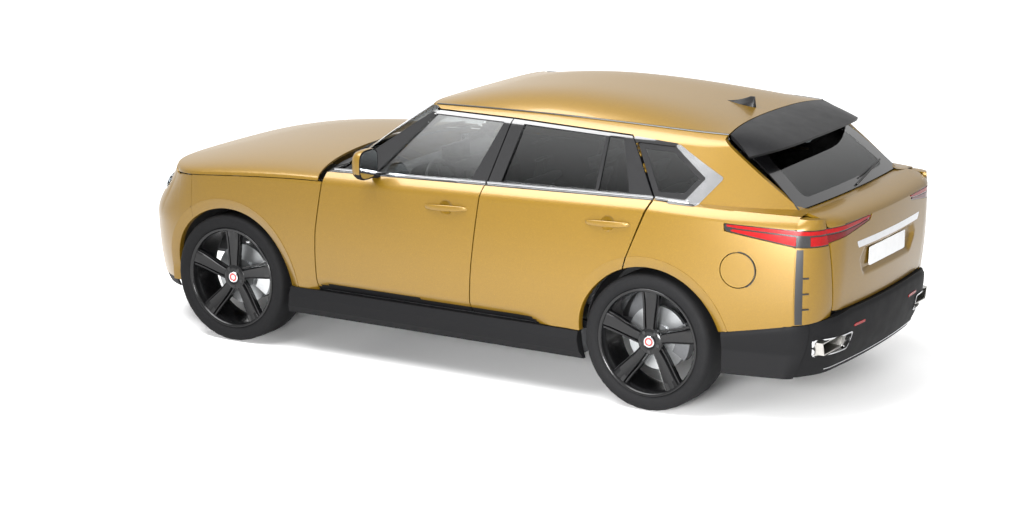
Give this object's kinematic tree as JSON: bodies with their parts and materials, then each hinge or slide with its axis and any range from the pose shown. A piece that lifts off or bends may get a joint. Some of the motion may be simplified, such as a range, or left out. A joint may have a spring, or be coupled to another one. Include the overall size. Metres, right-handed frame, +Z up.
{
  "type": "sport utility car",
  "caption": "Sport utility car with hinged doors, bonnet and tailgate, steered front wheels, black lower cladding and a hollow cabin with seats and dashboard.",
  "frame": {"origin": "on the floor under the middle of the length and width", "axes": "+X forward to the nose, +Y to the left side, +Z up"},
  "size_m": [4.9372, 2.2872, 1.7344],
  "materials": {
    "paint": "metallic, clear-coated",
    "glass": "tinted",
    "black_plastic": "grained black",
    "gloss_black": "gloss black",
    "lamp_clear": "clear lens",
    "lamp_red": "red lens",
    "tyre": "rubber",
    "alloy": "dark lacquer",
    "iron": "machined",
    "steel": "coated steel",
    "exhaust_steel": "stainless",
    "upholstery": "dark"
  },
  "bodies": {
    "body": {"platform": "steel", "cabin_frame": "steel", "body_side_left": "paint", "body_side_right": "paint", "front_wing_left": "paint", "front_wing_right": "paint", "roof_panel": "paint", "front_bumper": "paint", "rear_bumper": "black_plastic", "rear_corners": "paint", "quarter_glass": "glass", "windscreen": "glass", "headlamps": "lamp_clear", "grille": "gloss_black", "tail_lamps": "lamp_red", "sill_covers": "black_plastic", "arch_liners": "black_plastic", "cowl": "black_plastic", "rear_axle": "steel", "front_subframe": "steel", "engine_block": "iron", "exhaust": "exhaust_steel", "dashboard": "black_plastic", "front_seats": "upholstery", "rear_seat": "upholstery"},
    "wheel_front_left": {"tyre_front_left": "tyre", "rim_front_left": "alloy", "disc_front_left": "iron"},
    "wheel_front_right": {"tyre_front_right": "tyre", "rim_front_right": "alloy", "disc_front_right": "iron"},
    "wheel_rear_left": {"tyre_rear_left": "tyre", "rim_rear_left": "alloy", "disc_rear_left": "iron"},
    "wheel_rear_right": {"tyre_rear_right": "tyre", "rim_rear_right": "alloy", "disc_rear_right": "iron"},
    "knuckle_left": {"knuckle_left": "iron"},
    "knuckle_right": {"knuckle_right": "iron"},
    "door_front_left": {"front_door_left": "paint", "front_glass_left": "glass", "mirror_left": "paint"},
    "door_front_right": {"front_door_right": "paint", "front_glass_right": "glass", "mirror_right": "paint"},
    "door_rear_left": {"rear_door_left": "paint", "rear_glass_left": "glass"},
    "door_rear_right": {"rear_door_right": "paint", "rear_glass_right": "glass"},
    "bonnet": {"bonnet": "paint"},
    "tailgate": {"tailgate": "paint", "tailgate_glass": "glass", "spoiler": "gloss_black", "tailgate_lamps": "lamp_red"},
    "steering_wheel": {"steering_wheel": "black_plastic"}
  },
  "joints": [
    {"name": "steer_left", "type": "hinge", "parent": "body", "child": "knuckle_left", "pos_m": [1.565, 0.7595, 0.406], "axis": [0, 0, 1], "range_deg": [-33, 33]},
    {"name": "steer_right", "type": "hinge", "parent": "body", "child": "knuckle_right", "pos_m": [1.565, -0.7595, 0.406], "axis": [0, 0, 1], "range_deg": [-33, 33]},
    {"name": "wheel_front_left_spin", "type": "hinge", "parent": "knuckle_left", "child": "wheel_front_left", "pos_m": [1.565, 0.8275, 0.406], "axis": [0, 1, 0], "continuous": true},
    {"name": "wheel_front_right_spin", "type": "hinge", "parent": "knuckle_right", "child": "wheel_front_right", "pos_m": [1.565, -0.8275, 0.406], "axis": [0, 1, 0], "continuous": true},
    {"name": "wheel_rear_left_spin", "type": "hinge", "parent": "body", "child": "wheel_rear_left", "pos_m": [-1.385, 0.8275, 0.406], "axis": [0, 1, 0], "continuous": true},
    {"name": "wheel_rear_right_spin", "type": "hinge", "parent": "body", "child": "wheel_rear_right", "pos_m": [-1.385, -0.8275, 0.406], "axis": [0, 1, 0], "continuous": true},
    {"name": "front_door_left_open", "type": "hinge", "parent": "body", "child": "door_front_left", "pos_m": [0.85, 0.972, 0.805], "axis": [0, 0, -1], "range_deg": [0, 68]},
    {"name": "rear_door_left_open", "type": "hinge", "parent": "body", "child": "door_rear_left", "pos_m": [-0.27319, 0.972, 0.805], "axis": [0, 0, -1], "range_deg": [0, 70]},
    {"name": "front_door_right_open", "type": "hinge", "parent": "body", "child": "door_front_right", "pos_m": [0.85, -0.972, 0.805], "axis": [0, 0, 1], "range_deg": [0, 68]},
    {"name": "rear_door_right_open", "type": "hinge", "parent": "body", "child": "door_rear_right", "pos_m": [-0.27319, -0.972, 0.805], "axis": [0, 0, 1], "range_deg": [0, 70]},
    {"name": "bonnet_open", "type": "hinge", "parent": "body", "child": "bonnet", "pos_m": [0.85, 0, 1.108], "axis": [0, -1, 0], "range_deg": [0, 50]},
    {"name": "tailgate_open", "type": "hinge", "parent": "body", "child": "tailgate", "pos_m": [-1.651, 0, 1.648], "axis": [0, 1, 0], "range_deg": [0, 80]},
    {"name": "steering_wheel_turn", "type": "hinge", "parent": "body", "child": "steering_wheel", "pos_m": [0.33, 0.38, 1.01], "axis": [-0.9272, 0, 0.3746], "range_deg": [-495, 495]}
  ],
  "couplings": [
    {"joint": "steer_right", "follows": "steer_left", "ratio": 1},
    {"joint": "steering_wheel_turn", "follows": "steer_left", "ratio": 15}
  ]
}
